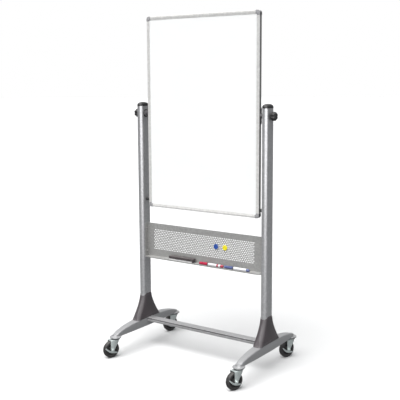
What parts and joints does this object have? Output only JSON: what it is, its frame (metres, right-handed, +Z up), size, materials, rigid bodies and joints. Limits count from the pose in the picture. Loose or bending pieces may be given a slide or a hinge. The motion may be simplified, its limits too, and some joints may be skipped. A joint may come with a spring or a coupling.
{
  "type": "rolling whiteboard",
  "caption": "Tall double-sided whiteboard that turns on pivots between the uprights of a castored stand, above a magnetic tray for markers and an eraser.",
  "frame": {"origin": "on the floor, under the middle of the whole object's outline", "axes": "+X along the board to the right of someone facing the front, +Y from front to rear, +Z up"},
  "size_m": [0.8676, 0.6364, 1.8016],
  "materials": {
    "silver_paint": "satin metallic paint",
    "trim_aluminium": "satin anodised",
    "corner_plastic": "moulded",
    "white_enamel": "gloss enamel",
    "fibre_core": "pressed fibre",
    "zinc_steel": "bright zinc plate",
    "dark_steel": "dark zinc plate",
    "black_plastic": "moulded, fine grain",
    "foot_plastic": "moulded, satin",
    "nylon": "turned",
    "rubber": "moulded",
    "tray_paint": "powder coat",
    "felt": "wool felt",
    "red_plastic": "moulded",
    "blue_plastic": "moulded",
    "yellow_plastic": "moulded"
  },
  "bodies": {
    "stand": {"pivot_washer_left": "nylon", "pivot_washer_right": "nylon", "upright_left": "silver_paint", "upright_cap_left": "black_plastic", "upright_plug_left": "dark_steel", "buffer_left": "rubber", "upright_right": "silver_paint", "upright_cap_right": "black_plastic", "upright_plug_right": "dark_steel", "buffer_right": "rubber", "leg_left": "silver_paint", "gusset_left": "foot_plastic", "leg_right": "silver_paint", "gusset_right": "foot_plastic", "cross_bar": "silver_paint", "tray": "tray_paint", "caster_head_front_left": "dark_steel", "caster_head_rear_left": "dark_steel", "caster_head_front_right": "dark_steel", "caster_head_rear_right": "dark_steel"},
    "board": {"board_core": "fibre_core", "board_sheet_front": "white_enamel", "board_sheet_rear": "white_enamel", "trim_left": "trim_aluminium", "trim_right": "trim_aluminium", "trim_top": "trim_aluminium", "trim_bottom": "trim_aluminium", "corner_cap_bottom_left": "corner_plastic", "corner_cap_top_left": "corner_plastic", "corner_cap_bottom_right": "corner_plastic", "corner_cap_top_right": "corner_plastic", "pivot_plate_left": "zinc_steel", "pivot_stud_left": "zinc_steel", "pivot_plate_right": "zinc_steel", "pivot_stud_right": "zinc_steel"},
    "knob_left": {"knob_left": "black_plastic"},
    "knob_right": {"knob_right": "black_plastic"},
    "fork_front_left": {"caster_fork_front_left": "zinc_steel", "caster_axle_front_left": "zinc_steel"},
    "wheel_front_left": {"caster_wheel_front_left": "rubber"},
    "brake_front_left": {"caster_brake_front_left": "zinc_steel"},
    "fork_front_right": {"caster_fork_front_right": "zinc_steel", "caster_axle_front_right": "zinc_steel"},
    "wheel_front_right": {"caster_wheel_front_right": "rubber"},
    "brake_front_right": {"caster_brake_front_right": "zinc_steel"},
    "fork_rear_left": {"caster_fork_rear_left": "zinc_steel", "caster_axle_rear_left": "zinc_steel"},
    "wheel_rear_left": {"caster_wheel_rear_left": "rubber"},
    "brake_rear_left": {"caster_brake_rear_left": "zinc_steel"},
    "fork_rear_right": {"caster_fork_rear_right": "zinc_steel", "caster_axle_rear_right": "zinc_steel"},
    "wheel_rear_right": {"caster_wheel_rear_right": "rubber"},
    "brake_rear_right": {"caster_brake_rear_right": "zinc_steel"},
    "eraser": {"eraser_back": "black_plastic", "eraser_felt": "felt"},
    "marker_red": {"marker_red": "red_plastic"},
    "marker_blue": {"marker_blue": "blue_plastic"},
    "magnet_blue": {"magnet_blue": "blue_plastic"},
    "magnet_yellow": {"magnet_yellow": "yellow_plastic"}
  },
  "joints": [
    {"name": "board_turn", "type": "hinge", "parent": "stand", "child": "board", "pos_m": [0, 0.02316, 1.293], "axis": [1, 0, 0], "continuous": true},
    {"name": "knob_turn_left", "type": "hinge", "parent": "board", "child": "knob_left", "pos_m": [-0.4198, 0.02316, 1.293], "axis": [1, 0, 0], "continuous": true},
    {"name": "knob_turn_right", "type": "hinge", "parent": "board", "child": "knob_right", "pos_m": [0.4198, 0.02316, 1.293], "axis": [1, 0, 0], "continuous": true},
    {"name": "swivel_front_left", "type": "hinge", "parent": "stand", "child": "fork_front_left", "pos_m": [-0.3875, -0.24084, 0.10435], "axis": [0, 0, 1], "continuous": true},
    {"name": "swivel_front_right", "type": "hinge", "parent": "stand", "child": "fork_front_right", "pos_m": [0.3875, -0.24084, 0.10435], "axis": [0, 0, 1], "continuous": true},
    {"name": "swivel_rear_left", "type": "hinge", "parent": "stand", "child": "fork_rear_left", "pos_m": [-0.3875, 0.28716, 0.10435], "axis": [0, 0, 1], "continuous": true},
    {"name": "swivel_rear_right", "type": "hinge", "parent": "stand", "child": "fork_rear_right", "pos_m": [0.3875, 0.28716, 0.10435], "axis": [0, 0, 1], "continuous": true},
    {"name": "wheel_spin_front_left", "type": "hinge", "parent": "fork_front_left", "child": "wheel_front_left", "pos_m": [-0.39694, -0.26826, 0.045], "axis": [0.9455, -0.3256, 0], "continuous": true},
    {"name": "brake_front_left", "type": "hinge", "parent": "fork_front_left", "child": "brake_front_left", "pos_m": [-0.39694, -0.26826, 0.045], "axis": [0.9455, -0.3256, 0], "range_deg": [0, 20]},
    {"name": "wheel_spin_front_right", "type": "hinge", "parent": "fork_front_right", "child": "wheel_front_right", "pos_m": [0.37806, -0.26826, 0.045], "axis": [0.9455, -0.3256, 0], "continuous": true},
    {"name": "brake_front_right", "type": "hinge", "parent": "fork_front_right", "child": "brake_front_right", "pos_m": [0.37806, -0.26826, 0.045], "axis": [0.9455, -0.3256, 0], "range_deg": [0, 20]},
    {"name": "wheel_spin_rear_left", "type": "hinge", "parent": "fork_rear_left", "child": "wheel_rear_left", "pos_m": [-0.39694, 0.25974, 0.045], "axis": [0.9455, -0.3256, 0], "continuous": true},
    {"name": "brake_rear_left", "type": "hinge", "parent": "fork_rear_left", "child": "brake_rear_left", "pos_m": [-0.39694, 0.25974, 0.045], "axis": [0.9455, -0.3256, 0], "range_deg": [0, 20]},
    {"name": "wheel_spin_rear_right", "type": "hinge", "parent": "fork_rear_right", "child": "wheel_rear_right", "pos_m": [0.37806, 0.25974, 0.045], "axis": [0.9455, -0.3256, 0], "continuous": true},
    {"name": "brake_rear_right", "type": "hinge", "parent": "fork_rear_right", "child": "brake_rear_right", "pos_m": [0.37806, 0.25974, 0.045], "axis": [0.9455, -0.3256, 0], "range_deg": [0, 20]},
    {"name": "eraser_lift", "type": "slide", "parent": "stand", "child": "eraser", "axis": [0, 0, 1], "range_m": [0, 0.06]},
    {"name": "marker_red_lift", "type": "slide", "parent": "stand", "child": "marker_red", "axis": [0, 0, 1], "range_m": [0, 0.06]},
    {"name": "marker_blue_lift", "type": "slide", "parent": "stand", "child": "marker_blue", "axis": [0, 0, 1], "range_m": [0, 0.06]},
    {"name": "magnet_blue_pull", "type": "slide", "parent": "stand", "child": "magnet_blue", "axis": [0, -1, 0], "range_m": [0, 0.05]},
    {"name": "magnet_yellow_pull", "type": "slide", "parent": "stand", "child": "magnet_yellow", "axis": [0, -1, 0], "range_m": [0, 0.05]}
  ]
}
